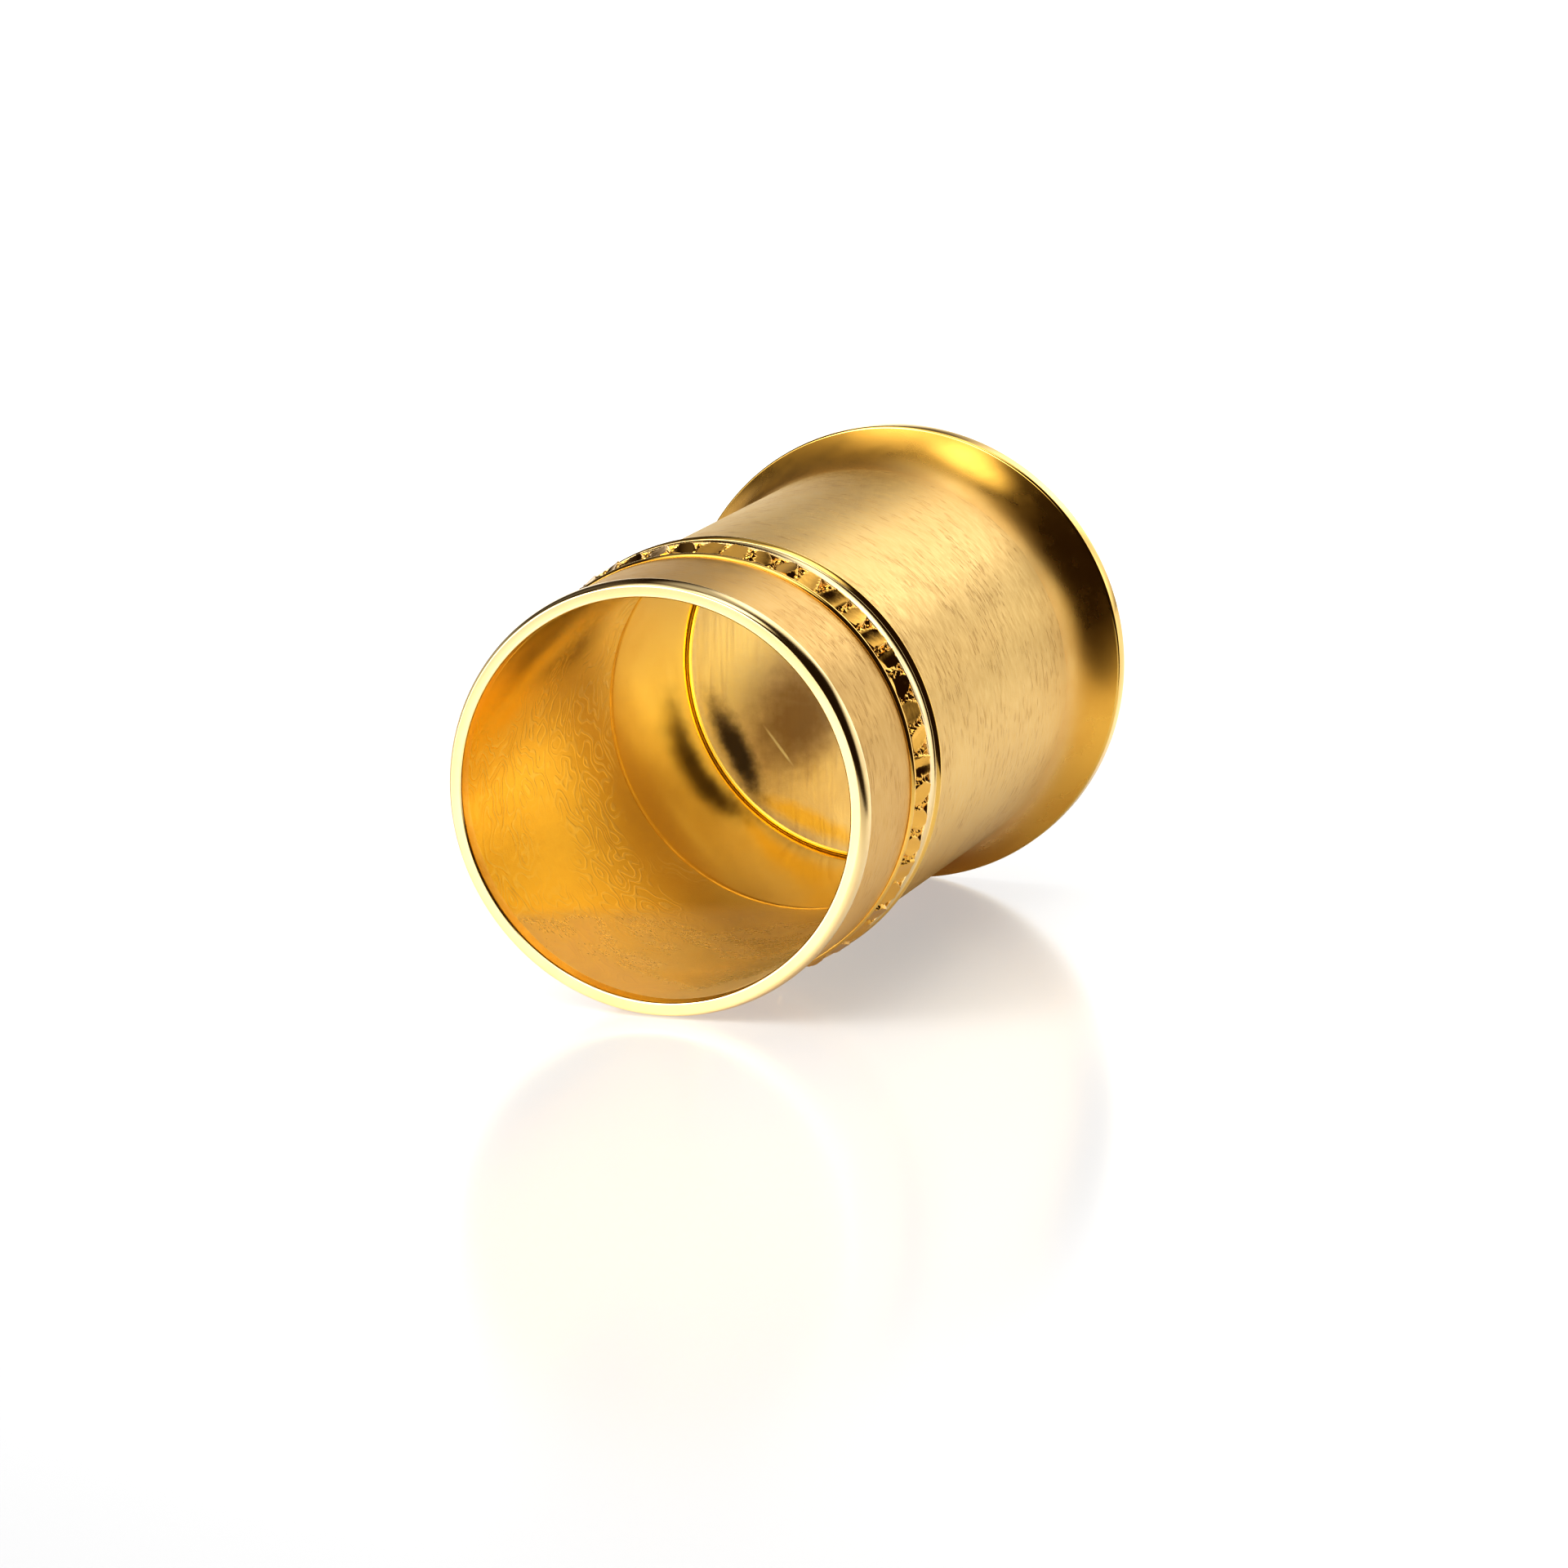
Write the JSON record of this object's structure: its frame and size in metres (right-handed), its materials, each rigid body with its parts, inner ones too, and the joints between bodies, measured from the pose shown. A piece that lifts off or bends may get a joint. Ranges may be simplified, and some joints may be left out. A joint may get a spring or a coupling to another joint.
{
  "type": "metal beaker",
  "caption": "Gold-toned metal drinking beaker: satin tube with a thick polished lip, an ornamental band of cut bosses, a pan-like inner floor and a flared trumpet foot.",
  "frame": {"origin": "centre of the face that the foot ring stands on", "axes": "+Z along the beaker's axis, from the foot up to the mouth"},
  "size_m": [0.0782, 0.0782, 0.122],
  "materials": {
    "satin_gold": "satin brushed round the tube, gold-plated",
    "polished_gold": "polished, gold-plated",
    "chased_gold": "bright-cut facets, gold-plated",
    "lining_gold": "soft polish, gold-plated"
  },
  "bodies": {
    "root": {"lip_ring": "polished_gold", "body_tube": "satin_gold", "floor_pan": "lining_gold", "band_front_wire": "polished_gold", "band_chased_ring": "chased_gold", "band_cove_ring": "polished_gold", "band_rear_bead": "polished_gold", "foot_flare": "polished_gold", "foot_ring": "polished_gold"}
  },
  "joints": []
}
